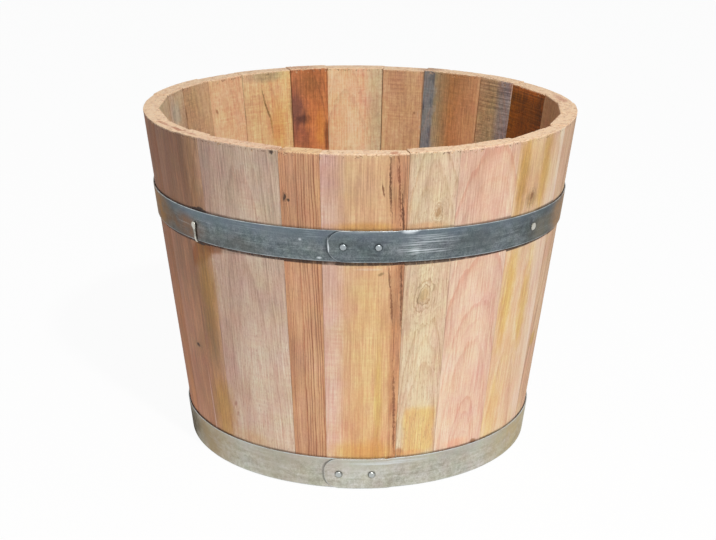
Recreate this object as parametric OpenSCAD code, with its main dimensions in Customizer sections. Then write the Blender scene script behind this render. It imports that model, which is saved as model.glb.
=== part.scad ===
// Wooden barrel planter: a tapered tub coopered from upright staves, with a round head of
// boards let into a groove near the foot and two riveted steel hoops.
// Millimetres, +Z up. The origin is the centre of the foot, on the ground. The hoops' laps face -Y.
// Angles go round the tub from the front, positive towards +X.

/* [Tub] */
// Outside diameter at the rim
top_d = 500; // [430:1:560]
// Outside diameter at the foot
base_d = 402; // [340:1:425]
// Height of the staves
tub_h = 394; // [350:1:460]

/* [Staves] */
// Thickness of a middling stave
stave_t = 20; // [17:0.5:26]
// How much thicker or thinner than that a single stave may be
stave_t_play = 1; // [0:0.1:1.5]
// Hairline between neighbouring staves
stave_joint = 0.2; // [0.1:0.05:0.5]
// Angle of the left edge of the first stave
first_edge = -64.5; // [-70:0.5:-60]
// Broken outer edge of the rim
rim_arris = 1.2; // [0.5:0.1:2.5]

/* [Head] */
// Height of the head's underside over the ground
head_z = 37; // [25:1:60]
// Thickness of the head boards
head_t = 16; // [12:0.5:22]
// Thickness left at the head's bevelled edge
head_edge_t = 8; // [5:0.5:10]
// Depth of the groove in a middling stave
croze_depth = 7; // [6:0.5:9]
// Clearance between the head's edge and its groove
head_clear = 0.3; // [0.1:0.1:0.6]
// Hairline between neighbouring head boards
board_joint = 0.2; // [0.1:0.05:0.5]

/* [Dowels] */
// Diameter of the dowels that join the head boards
dowel_d = 8; // [6:0.5:9]
// Length of a dowel
dowel_len = 36; // [24:1:40]
// Distance between the two dowels of one joint
dowel_pitch = 120; // [80:1:160]
// Clearance round a dowel and past its ends
dowel_clear = 0.1; // [0.05:0.05:0.3]

/* [Drain holes] */
// Diameter of a drain hole
drain_d = 12; // [8:0.5:16]
// Distance between drain holes
drain_pitch = 90; // [50:1:110]

/* [Hoops] */
// Thickness of the hoop strip
hoop_t = 1.5; // [1:0.1:2.5]
// Gap between the staves and the strip
hoop_seat = 0.1; // [0.05:0.05:0.3]
// Height of the upper hoop's lower edge
upper_hoop_z = 274; // [230:1:300]
// Width of the upper hoop
upper_hoop_w = 35; // [28:1:45]
// Height of the lower hoop's lower edge
lower_hoop_z = 1; // [1:0.5:10]
// Width of the lower hoop
lower_hoop_w = 37.5; // [28:0.5:45]

/* [Laps] */
// Length over which the strip's two ends lie on each other
lap_len = 68; // [62:1:80]
// Gap between the two layers of a lap
lap_gap = 0.1; // [0.05:0.05:0.2]
// Length of the step from the outer layer down to the staves
joggle_len = 8; // [5:1:14]
// Place of the upper lap's middle, right of the front
upper_lap_shift = 2.5; // [-5:0.5:5]
// Place of the lower lap's middle, right of the front
lower_lap_shift = -1.7; // [-5:0.1:5]
// Radius of the corners of a lap's outer end
lap_corner_r = 16; // [8:0.5:17]

/* [Rivets] */
// Distance between the two rivets of a lap
rivet_pitch = 36; // [30:1:40]
// Diameter of a rivet's domed head
rivet_head_d = 8; // [6:0.5:10]
// Height of a rivet's domed head
rivet_head_h = 2.6; // [1.5:0.1:3]
// Diameter of a rivet's shank
rivet_shank_d = 4; // [3:0.5:5]
// Diameter of the flattened tail behind the strip
rivet_tail_d = 6.5; // [6:0.5:9]
// Thickness of the flattened tail
rivet_tail_h = 1.2; // [0.8:0.1:2]
// Clearance of a shank in its hole, and under a tail in its pocket
rivet_clear = 0.1; // [0.05:0.05:0.3]

/* [Hoop nails] */
// Diameter of a nail's round head
nail_head_d = 9.5; // [7:0.5:12]
// Height of a nail's round head
nail_head_h = 1.6; // [1:0.1:2.5]
// Diameter of a nail's shank
nail_shank_d = 3; // [2:0.5:4]
// Length of a nail under its head
nail_len = 15; // [10:1:15]
// Length of a nail's point
nail_point = 4; // [2:0.5:6]
// Clearance of a nail in its hole
nail_clear = 0.05; // [0.05:0.05:0.3]

/* [Hidden] */
// Widths of the staves at the rim, from the first edge round to the right. They share the
// whole circle out between them, whatever the tub's diameter.
stave_widths = [57, 37, 103, 44, 92, 55, 79, 94, 65, 61, 60, 79,
                60, 90, 59, 79, 54, 76, 64, 60, 48, 78, 76];
// Widths of the head boards, from the front to the back, shared out over the head.
board_widths = [74, 80, 82, 78, 73];
// Places of the nails in the upper hoop.
nail_angles = [-48, 53, 142, 232];
// Wood tones, from pale sapwood to dark heartwood.
stave_tones = ["#d9b894", "#b98b66", "#caa27c", "#b0785a", "#d8a982"];
board_tones = ["#c39a72", "#b3875f"];
steel_tone = "#8d949b";
zinc_tone = "#a9a99f";
fixing_tone = "#c4c7c9";

$fn = 180;
small_fn = 48;
eps = 0.01;

function total(list, last) = last < 0 ? 0 : list[last] + total(list, last - 1);
// Share of a list that lies before entry i.
function share(list, i) = total(list, i - 1) / total(list, len(list) - 1);

stave_count = len(stave_widths);
board_count = len(board_widths);
function stave_edge(i) = first_edge + 360 * share(stave_widths, i);
function stave_mid(i) = (stave_edge(i) + stave_edge(i + 1)) / 2;
// Sawn boards differ a little in thickness, in no order.
function stave_thick(i) = stave_t + stave_t_play * sin(i * 137);

// The wall leans out evenly from the foot to the rim.
wall_rise = (top_d - base_d) / 2 / tub_h;
wall_lean = atan(wall_rise);
function wall_r(z) = base_d / 2 + wall_rise * z;
// A distance square to the wall, as it measures on the level.
function level(d) = d / cos(wall_lean);

// The head's edge is bevelled on both faces and stands in the groove by its full depth.
head_mid = head_z + head_t / 2;
croze_r = wall_r(head_mid) - level(stave_t) + croze_depth;
head_r = croze_r - head_clear;
bevel_run = croze_depth + 2 * stave_t_play + head_t * wall_rise;
bevel_r = head_r - bevel_run;
function board_edge(i) = -head_r + 2 * head_r * share(board_widths, i);
function board_name(i) = str("head_board_", i + 1);

// Distances from the staves' surface, square to the wall.
inner_layer = hoop_seat;
outer_layer = hoop_seat + hoop_t + lap_gap;
// How much slimmer the step in a lap is than the strip, and how far the outline of a lap's end
// runs past the strip's edges.
joggle_inset = 0.04;
lap_overrun = 0.4;
// Gap under a head, and the play of a rivet's tail in its pocket.
head_seat = 0.05;
pocket_play = 0.6;
pocket_d = rivet_tail_d + 2 * pocket_play;
pocket_depth = rivet_tail_h + 2 * rivet_clear;
rivet_hole_d = rivet_shank_d + 2 * rivet_clear;
nail_hole_d = nail_shank_d + 2 * nail_clear;
upper_mid = upper_hoop_z + upper_hoop_w / 2;
lower_mid = lower_hoop_z + lower_hoop_w / 2;
// The angle that a length takes up round the tub at height z.
function arc_deg(length, z) = length / wall_r(z) * 180 / PI;

function stave_name(i) = str(i < 9 ? "stave_0" : "stave_", i + 1);
stave_nodes = [for (i = [0 : stave_count - 1]) stave_name(i)];
board_nodes = [for (i = [0 : board_count - 1]) board_name(i)];

// Turns +X to an angle round the tub.
module facing(angle) { rotate([0, 0, angle - 90]) children(); }

// Sets its children on the staves' surface at an angle and height, their +Z square out of the wall.
module on_wall(angle, z) {
    facing(angle) translate([wall_r(z), 0, z]) rotate([0, 90 + wall_lean, 0]) children();
}

// The whole tub as a solid, its rim's outer edge broken.
module tub_form() {
    rotate_extrude()
        polygon([[0, 0],
                 [wall_r(0), 0],
                 [wall_r(tub_h - rim_arris), tub_h - rim_arris],
                 [wall_r(tub_h) - rim_arris, tub_h],
                 [0, tub_h]]);
}

// The sector between two angles, wide enough for the whole tub.
module sector(from, to) {
    half = (to - from) / 2;
    reach = top_d / cos(half);
    facing((from + to) / 2)
        translate([0, 0, -1])
            linear_extrude(tub_h + 2)
                polygon([[0, 0], [reach * cos(half), -reach * sin(half)],
                         [reach * cos(half), reach * sin(half)]]);
}

// A flat board of the given thickness, leaning with the wall, its back on the wall's surface.
module leaning_board(angle, thick) {
    facing(angle)
        translate([wall_r(0) - level(thick), 0, 0])
            rotate([0, wall_lean, 0])
                translate([0, -top_d / 2, -tub_h / 2])
                    cube([2 * thick, top_d, 2 * tub_h]);
}

// The groove for the head, its flanks following the head's bevels.
module croze() {
    half_bottom = head_edge_t / 2 + head_clear;
    half_mouth = head_t / 2 + head_clear;
    rotate_extrude()
        polygon([[bevel_r, head_mid - half_mouth],
                 [croze_r, head_mid - half_bottom],
                 [croze_r, head_mid + half_bottom],
                 [bevel_r, head_mid + half_mouth]]);
}

module stave_hairline(angle) {
    facing(angle) translate([0, -stave_joint / 2, -1]) cube([top_d, stave_joint, tub_h + 2]);
}

// Shallow seats in the wood for the tails of a lap's rivets.
module rivet_pockets(z, shift) {
    for (side = [-1, 1])
        on_wall(arc_deg(shift + side * rivet_pitch / 2, z), z)
            translate([0, 0, -pocket_depth])
                cylinder(d = pocket_d, h = pocket_depth + 1, $fn = small_fn);
}

// Holes that the hoop nails make, through the strip and into the wood.
module nail_holes() {
    depth = nail_len - inner_layer - hoop_t;
    for (angle = nail_angles)
        on_wall(angle, upper_mid)
            translate([0, 0, -depth])
                cylinder(d = nail_hole_d, h = depth + 3 * hoop_t, $fn = small_fn);
}

// A stave: round outside, flat inside, its edges square to the ring, grooved near its foot.
module stave(i) {
    color(stave_tones[i % len(stave_tones)])
        difference() {
            intersection() {
                tub_form();
                sector(stave_edge(i), stave_edge(i + 1));
                leaning_board(stave_mid(i), stave_thick(i));
            }
            croze();
            stave_hairline(stave_edge(i));
            stave_hairline(stave_edge(i + 1));
            rivet_pockets(upper_mid, upper_lap_shift);
            rivet_pockets(lower_mid, lower_lap_shift);
            nail_holes();
        }
}

// The round head before it is parted into boards.
module head_form() {
    rotate_extrude()
        polygon([[0, head_z],
                 [bevel_r, head_z],
                 [head_r, head_mid - head_edge_t / 2],
                 [head_r, head_mid + head_edge_t / 2],
                 [bevel_r, head_z + head_t],
                 [0, head_z + head_t]]);
}

// Dowels across every joint of the head, or the holes for them.
module across_joints(grow) {
    for (joint = [1 : board_count - 1], side = [-1, 1])
        translate([side * dowel_pitch / 2, board_edge(joint), head_mid])
            rotate([90, 0, 0])
                cylinder(d = dowel_d + 2 * grow, h = dowel_len + 2 * grow, center = true, $fn = small_fn);
}

module drain_holes() {
    for (step = [-1 : 1])
        translate([step * drain_pitch, 0, head_z - 1])
            cylinder(d = drain_d, h = head_t + 2, $fn = small_fn);
}

module head_board(i) {
    front = board_edge(i) + (i == 0 ? -1 : board_joint / 2);
    back = board_edge(i + 1) - (i == board_count - 1 ? -1 : board_joint / 2);
    color(board_tones[i % len(board_tones)])
        difference() {
            intersection() {
                head_form();
                translate([-head_r - 1, front, head_z - 1])
                    cube([2 * head_r + 2, back - front, head_t + 2]);
            }
            across_joints(dowel_clear);
            drain_holes();
        }
}

module head_dowels() { color("#d8bd92") across_joints(0); }

// The corners of the strip's section at one layer, as it stands beside the tub's axis, taken in by
// an inset on every side.
function strip_corners(z, width, layer, inset) =
    let (inside = level(layer + inset), outside = level(layer + hoop_t - inset),
         low = z + inset, high = z + width - inset)
    [[wall_r(low) + inside, low], [wall_r(low) + outside, low],
     [wall_r(high) + outside, high], [wall_r(high) + inside, high]];

// The strip from one angle on to another at one layer.
module strip_arc(z, width, layer, from, to) {
    facing(from) rotate_extrude(angle = to - from) polygon(strip_corners(z, width, layer, 0));
}

// The slanting piece of strip that leads from a lap's outer layer down to the staves. A hair
// slimmer than the strip, it is let into both ends of it.
module joggle(z, width, from, to) {
    let_in = arc_deg(hoop_t, z);
    stations = [[from - let_in, outer_layer], [from, outer_layer],
                [to, inner_layer], [to + let_in, inner_layer]];
    last = len(stations) - 1;
    corners = [for (s = stations, p = strip_corners(z, width, s[1], joggle_inset))
        [p.x * sin(s[0]), -p.x * cos(s[0]), p.y]];
    sides = [for (k = [0 : last - 1], i = [0 : 3], half = [0, 1])
        let (j = (i + 1) % 4, a = 4 * k, b = 4 * k + 4)
        half == 0 ? [a + i, a + j, b + j] : [a + i, b + j, b + i]];
    polyhedron(points = corners,
               faces = concat([[3, 2, 1, 0]], sides, [[for (i = [0 : 3]) 4 * last + i]]));
}

// The rounded outline of a lap's outer end, pointing left. It reaches in past the curve of the
// whole lap, and its corners run a little past the strip's edges, to meet them at an angle.
module lap_outline(z, width, angle) {
    half = level(width) / 2;
    corner = min(lap_corner_r, half);
    middle = half + lap_overrun - corner;
    deep = lap_len / 2;
    tall = deep + 4 * hoop_t;
    on_wall(angle, z + width / 2)
        translate([0, 0, -deep]) {
            for (side = [-1, 1])
                translate([side * middle, corner, 0])
                    cylinder(r = corner, h = tall, $fn = 96);
            translate([-middle, 0, 0]) cube([2 * middle, corner, tall]);
            translate([-width, corner, 0]) cube([2 * width, lap_len, tall]);
        }
}

// A hoop: one strip that goes round the tub, steps out over its own start and is riveted there.
module hoop(z, width, shift) {
    mid = z + width / 2;
    left = arc_deg(shift - lap_len / 2, mid);
    right = arc_deg(shift + lap_len / 2, mid);
    step_end = right + arc_deg(joggle_len, mid);
    inner_end = 360 + right - arc_deg(hoop_t, mid);
    difference() {
        union() {
            strip_arc(z, width, inner_layer, step_end, inner_end);
            intersection() {
                strip_arc(z, width, outer_layer, left, right);
                lap_outline(z, width, left);
            }
            joggle(z, width, right, step_end);
        }
        for (side = [-1, 1])
            on_wall(arc_deg(shift + side * rivet_pitch / 2, mid), mid)
                cylinder(d = rivet_hole_d, h = 4 * hoop_t, $fn = small_fn);
    }
}

module upper_hoop() {
    color(steel_tone)
        difference() {
            hoop(upper_hoop_z, upper_hoop_w, upper_lap_shift);
            nail_holes();
        }
}

module lower_hoop() { color(zinc_tone) hoop(lower_hoop_z, lower_hoop_w, lower_lap_shift); }

// A shallow dome of the given width and height, standing on the XY plane.
module dome(width, height) {
    ball = (pow(width / 2, 2) + pow(height, 2)) / (2 * height);
    intersection() {
        translate([0, 0, height - ball]) sphere(r = ball, $fn = small_fn);
        cylinder(d = width, h = height, $fn = small_fn);
    }
}

// A rivet through both layers of a lap: domed outside, its tail hammered flat inside.
module rivet() {
    head_base = outer_layer + hoop_t + head_seat;
    tail_top = inner_layer - head_seat;
    translate([0, 0, head_base]) dome(rivet_head_d, rivet_head_h);
    translate([0, 0, tail_top - eps])
        cylinder(d = rivet_shank_d, h = head_base - tail_top + 2 * eps, $fn = small_fn);
    translate([0, 0, tail_top - rivet_tail_h]) cylinder(d = rivet_tail_d, h = rivet_tail_h, $fn = small_fn);
}

module rivet_pair(z, shift) {
    color(fixing_tone)
        for (side = [-1, 1])
            on_wall(arc_deg(shift + side * rivet_pitch / 2, z), z) rivet();
}

module upper_hoop_rivets() { rivet_pair(upper_mid, upper_lap_shift); }

module lower_hoop_rivets() { rivet_pair(lower_mid, lower_lap_shift); }

// A nail with a low round head, driven through the strip into the wood.
module hoop_nail() {
    head_base = inner_layer + hoop_t + head_seat;
    tip_d = nail_shank_d / 4;
    reach = nail_len - 2 * head_seat;
    translate([0, 0, head_base]) dome(nail_head_d, nail_head_h);
    translate([0, 0, head_base - reach + nail_point])
        cylinder(d = nail_shank_d, h = reach - nail_point + eps, $fn = small_fn);
    translate([0, 0, head_base - reach])
        cylinder(d1 = tip_d, d2 = nail_shank_d, h = nail_point, $fn = small_fn);
}

module upper_hoop_nails() {
    color(fixing_tone)
        for (angle = nail_angles)
            on_wall(angle, upper_mid) hoop_nail();
}

for (i = [0 : stave_count - 1]) stave(i);
for (i = [0 : board_count - 1]) head_board(i);
head_dowels();
upper_hoop();
lower_hoop();
upper_hoop_rivets();
lower_hoop_rivets();
upper_hoop_nails();
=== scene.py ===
"""The looks of a wooden barrel planter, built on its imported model.

Sawn softwood staves stand in a ring, planed round outside and left flat and rough-sawn inside.
They carry a head of boards, and two galvanised hoops that are riveted at the front hold them.
Sizes below are in millimetres; what Blender gets is in metres.
"""
import math
from functools import partial

import bmesh
import bpy
from mathutils import Matrix, Vector


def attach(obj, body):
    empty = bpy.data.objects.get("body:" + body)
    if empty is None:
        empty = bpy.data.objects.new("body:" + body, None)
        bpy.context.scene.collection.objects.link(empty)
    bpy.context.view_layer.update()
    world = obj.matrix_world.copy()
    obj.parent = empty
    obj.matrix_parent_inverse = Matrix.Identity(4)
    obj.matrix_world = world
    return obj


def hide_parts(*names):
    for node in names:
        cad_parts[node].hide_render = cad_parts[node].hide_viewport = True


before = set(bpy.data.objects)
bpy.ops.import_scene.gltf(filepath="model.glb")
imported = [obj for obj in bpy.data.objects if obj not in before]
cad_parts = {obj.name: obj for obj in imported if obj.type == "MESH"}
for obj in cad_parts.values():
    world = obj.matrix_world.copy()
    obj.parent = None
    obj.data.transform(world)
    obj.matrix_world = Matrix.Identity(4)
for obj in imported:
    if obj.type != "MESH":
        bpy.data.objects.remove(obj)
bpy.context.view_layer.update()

MM = 0.001
SCENE = bpy.context.scene

# The tub, as the part's source has it.
RIM_R = 250.0
FOOT_R = 201.0
TUB_H = 394.0
STAVE_T = 20.0
STAVE_T_PLAY = 1.0
RIM_PLAY = 1.4
HAIRLINE = 0.2
FIRST_EDGE = -64.5
STAVE_WIDTHS = [57, 37, 103, 44, 92, 55, 79, 94, 65, 61, 60, 79,
                60, 90, 59, 79, 54, 76, 64, 60, 48, 78, 76]
RISE = (RIM_R - FOOT_R) / TUB_H
LEAN = math.atan(RISE)
# About the radius halfway up, near enough to tell which staves a mark reaches.
MID_R = 225.0

# The head and its groove.
HEAD_MID = 45.0
HEAD_EDGE_T = 8.0
GROOVE_PLAY = 0.3
CROZE_R = 193.44
CROZE_SLOPE = 2.82

# The hoops: height of the lower edge, width, and the lap's middle to the right of the front.
HOOP_T = 1.5
UPPER_HOOP = (274.0, 35.0, 2.5)
LOWER_HOOP = (1.0, 37.5, -1.7)
INNER_LAYER = 0.1
OUTER_LAYER = 1.7
LAP_LEN = 68.0
LAP_CORNER = 16.0
STEP_LEN = 8.0
RIVET_PITCH = 36.0
HEAD_SEAT = 0.05
NAIL_ANGLES = [52.6, 142.0, 232.0]
BENT_NAIL_ANGLE = -47.7
# The upper hoop was driven on a little askew: how far it sits off its height, how far it leans
# down to the right, and how far its front and back stand above its sides.
HOOP_OFF = -0.5
HOOP_LEAN = -1.5
HOOP_BEND = 2.0

# The photograph's lens, in pixels of a frame 716 wide.
FOCAL_PX = 1474.3
FRAME_PX = 716.0
SENSOR = 36.0

# How many points the meshes have.
STAVE_COLUMNS = 14
COLUMNS_PER_WIDTH = 0.9
STAVE_ROWS = 104
STAVE_LAYERS = 15
HOOP_COLUMNS = 860
HOOP_ROWS = 16
HOOP_LAYERS = 4

HALVES = (0.5, 0.5, 0.5)

# The kinds of node used here: Blender's name, the sockets that a list of inputs goes to, the output
# that counts, and what is always set. A word after a full stop, as in "Math.ADD", is the node's
# operation, or a tint's way of blending.
KINDS = {
    "Math": ("ShaderNodeMath", (0, 1, 2), 0, {}),
    "Vector": ("ShaderNodeVectorMath", (0, 1, 2), 0, {}),
    "Scale": ("ShaderNodeVectorMath", (0, "Scale"), 0, {"operation": "SCALE"}),
    "Length": ("ShaderNodeVectorMath", (0,), 1, {"operation": "LENGTH"}),
    "Split": ("ShaderNodeSeparateXYZ", (0,), 0, {}),
    "Join": ("ShaderNodeCombineXYZ", (0, 1, 2), 0, {}),
    "Curve": ("ShaderNodeFloatCurve", (1,), 0, {}),
    "Ramp": ("ShaderNodeValToRGB", (0,), 0, {}),
    "Range": ("ShaderNodeMapRange", range(5), 0, {}),
    "Smooth": ("ShaderNodeMapRange", range(5), 0, {"interpolation_type": "SMOOTHSTEP"}),
    "Mix": ("ShaderNodeMix", (0, 2, 3), 0, {}),
    "Tint": ("ShaderNodeMix", (0, 6, 7), 2, {"data_type": "RGBA"}),
    "Noise": ("ShaderNodeTexNoise", ("Vector", "Scale", "Detail", "Roughness"), 0, {}),
    "Bump": ("ShaderNodeBump", ("Strength", "Distance", "Height"), 0, {}),
    "Stored": ("ShaderNodeAttribute", (), 2, {}),
    "Store": ("GeometryNodeStoreNamedAttribute", ("Geometry", "Name", "Value"), 0,
              {"data_type": "FLOAT", "domain": "POINT"}),
    "Place": ("GeometryNodeSetPosition", ("Geometry", "Position"), 0, {}),
}


def wall_r(z):
    return FOOT_R + RISE * z


def level(distance):
    """A distance square to the wall, as it measures on the level."""
    return distance / math.cos(LEAN)


def arc(length, z):
    """The angle in radians that a length takes up round the tub at height z."""
    return length / wall_r(z)


def stave_edge(number):
    return math.radians(FIRST_EDGE + 360.0 * sum(STAVE_WIDTHS[:number]) / sum(STAVE_WIDTHS))


def stave_thickness(number):
    return STAVE_T + STAVE_T_PLAY * math.sin(math.radians(number * 137))


def rim_drop(number):
    """How far a stave's end stays below the rim: the ends were never quite level."""
    return RIM_PLAY * (0.5 + 0.5 * math.sin(math.radians(number * 101)))


def on_wall(angle, z, right=0.0, up=0.0, out=0.0):
    """A point near the staves' surface: millimetres to the right, up the wall and out of it."""
    outward = Vector((math.sin(angle), -math.cos(angle), 0.0))
    sideways = Vector((math.cos(angle), math.sin(angle), 0.0))
    upward = Vector((0.0, 0.0, 1.0))
    along = outward * math.sin(LEAN) + upward * math.cos(LEAN)
    place = outward * wall_r(z) + upward * z + sideways * right + along * up + square_out(angle) * out
    return place * MM


def square_out(angle):
    return Vector((math.sin(angle) * math.cos(LEAN), -math.cos(angle) * math.cos(LEAN), -math.sin(LEAN)))


def hoop_drift(angle, z):
    """How far a hoop at height z lies off its true height there; only the upper one is askew."""
    if z < UPPER_HOOP[0]:
        return 0.0
    return HOOP_OFF + HOOP_LEAN * math.sin(angle) + HOOP_BEND * math.cos(2 * angle)


def paint(hex_code):
    """An sRGB hex value as the linear colour that a socket takes."""
    channels = [int(hex_code[i:i + 2], 16) / 255 for i in (1, 3, 5)]
    linear = [c / 12.92 if c <= 0.04045 else ((c + 0.055) / 1.055) ** 2.4 for c in channels]
    return (*linear, 1.0)


def add_node(tree, kind, inputs=(), out=None, stops=(), points=(), **settings):
    """Adds a node with its settings and links, and gives back one of its outputs.

    inputs is a list in the order of the kind's sockets, or a dictionary of their names. stops are a
    colour ramp's places and tones, and points the corners of a curve of straight pieces.
    """
    kind, _, way = kind.partition(".")
    name, sockets, usual_out, always = KINDS.get(kind, (kind, range(9), 0, {}))
    made = tree.nodes.new(name)
    if way:
        settings["blend_type" if kind == "Tint" else "operation"] = way
    for label, value in {**always, **settings}.items():
        setattr(made, label, value)
    for key, value in inputs.items() if isinstance(inputs, dict) else zip(sockets, inputs):
        if isinstance(value, bpy.types.NodeSocket):
            tree.links.new(value, made.inputs[key])
        elif isinstance(value, str) and value.startswith("#"):
            made.inputs[key].default_value = paint(value)
        else:
            made.inputs[key].default_value = value
    if stops:
        elements = made.color_ramp.elements
        while len(elements) < len(stops):
            elements.new(1.0)
        for element, (place, tone) in zip(elements, stops):
            element.position = place
            element.color = paint(tone) if isinstance(tone, str) else (tone, tone, tone, 1.0)
    if points:
        line = made.mapping.curves[0].points
        while len(line) < len(points):
            line.new(0.5, 0.5)
        for corner, place in zip(line, points):
            corner.location = place
            corner.handle_type = "VECTOR"
        made.mapping.update()
    if made.outputs:
        return made.outputs[usual_out if out is None else out]


def in_scene(name, data):
    made = bpy.data.objects.new(name, data)
    SCENE.collection.objects.link(made)
    return made


# ---------------------------------------------------------------- shapes by Geometry Nodes

def shape_tree(name, sizes):
    """An empty tree with one named input for each size and one for its material, and what adds to it."""
    tree = bpy.data.node_groups.new(name, "GeometryNodeTree")
    tree.interface.new_socket(name="Shape", in_out="OUTPUT", socket_type="NodeSocketGeometry")
    kinds = {"Points": "NodeSocketGeometry", **dict.fromkeys(sizes, "NodeSocketFloat"),
             "Material": "NodeSocketMaterial"}
    for label, kind in kinds.items():
        kind = "NodeSocketInt" if label.startswith("Number of") else kind
        tree.interface.new_socket(name=label, in_out="INPUT", socket_type=kind)
    return tree, partial(add_node, tree), tree.nodes.new("NodeGroupInput").outputs


def finish_tree(put, given, shape):
    """Ends a tree in real faces of one material."""
    real = put("GeometryNodeRealizeInstances", [shape])
    smooth = put("GeometryNodeSetShadeSmooth", [real])
    finished = put("GeometryNodeSetMaterial", {"Geometry": smooth, "Material": given["Material"]})
    put("NodeGroupOutput", [finished])


def plain(piece, name):
    """Turns what a piece's modifiers make into its own plain mesh."""
    graph = bpy.context.evaluated_depsgraph_get()
    graph.update()
    made = bpy.data.meshes.new_from_object(piece.evaluated_get(graph), depsgraph=graph)
    piece.modifiers.clear()
    piece.data = made
    made.name = name
    return piece


def grown(name, tree, sizes, material, points=None):
    """Runs a tree with its sizes and keeps what it makes as one plain mesh object."""
    piece = in_scene(name, points or bpy.data.meshes.new(name))
    modifier = piece.modifiers.new("shape", "NODES")
    modifier.node_group = tree
    sockets = {s.name: s.identifier for s in tree.interface.items_tree if s.in_out == "INPUT"}
    for label, value in sizes.items():
        modifier[sockets[label]] = value
    modifier[sockets["Material"]] = material
    return plain(piece, name)


def rounded_box(put, place, half, roundness):
    """Rolls the edges of a box whose faces lie at +-half over to a radius that may vary."""
    size = put("Vector.ABSOLUTE", [place])
    core = put("Vector.SUBTRACT", [half, put("Join", [roundness, roundness, roundness])])
    beyond = put("Vector.SUBTRACT", [size, core])
    beyond = put("Vector.MAXIMUM", [beyond, (0, 0, 0)])
    reach = put("Math.MAXIMUM", [put("Length", [beyond]), 1e-9])
    shrink = put("Math.DIVIDE", [roundness, reach])
    shrink = put("Math.MINIMUM", [shrink, 1.0])
    beyond = put("Scale", [beyond, shrink])
    inside = put("Vector.MINIMUM", [size, core])
    rolled = put("Vector.ADD", [inside, beyond])
    return put("Vector.MULTIPLY", [rolled, put("Vector.SIGN", [place])])


def round_the_tub(put, angle, radius, height):
    """The place at an angle from the front, a distance from the axis and a height."""
    x = put("Math.MULTIPLY", [radius, put("Math.SINE", [angle])])
    y = put("Math.MULTIPLY", [radius, put("Math.COSINE", [angle])])
    y = put("Math.MULTIPLY", [y, -1.0])
    return put("Join", [x, y, height])


STAVE_SIZES = ["Left edge", "Right edge", "Thickness", "Foot radius", "Rim radius", "Height",
               "Groove middle", "Groove half width", "Groove radius", "Groove slope", "Hairline",
               "Outer arris", "Inner arris", "Rim arris", "Chip depth", "Unevenness", "Seed",
               "Number of columns"]


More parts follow.
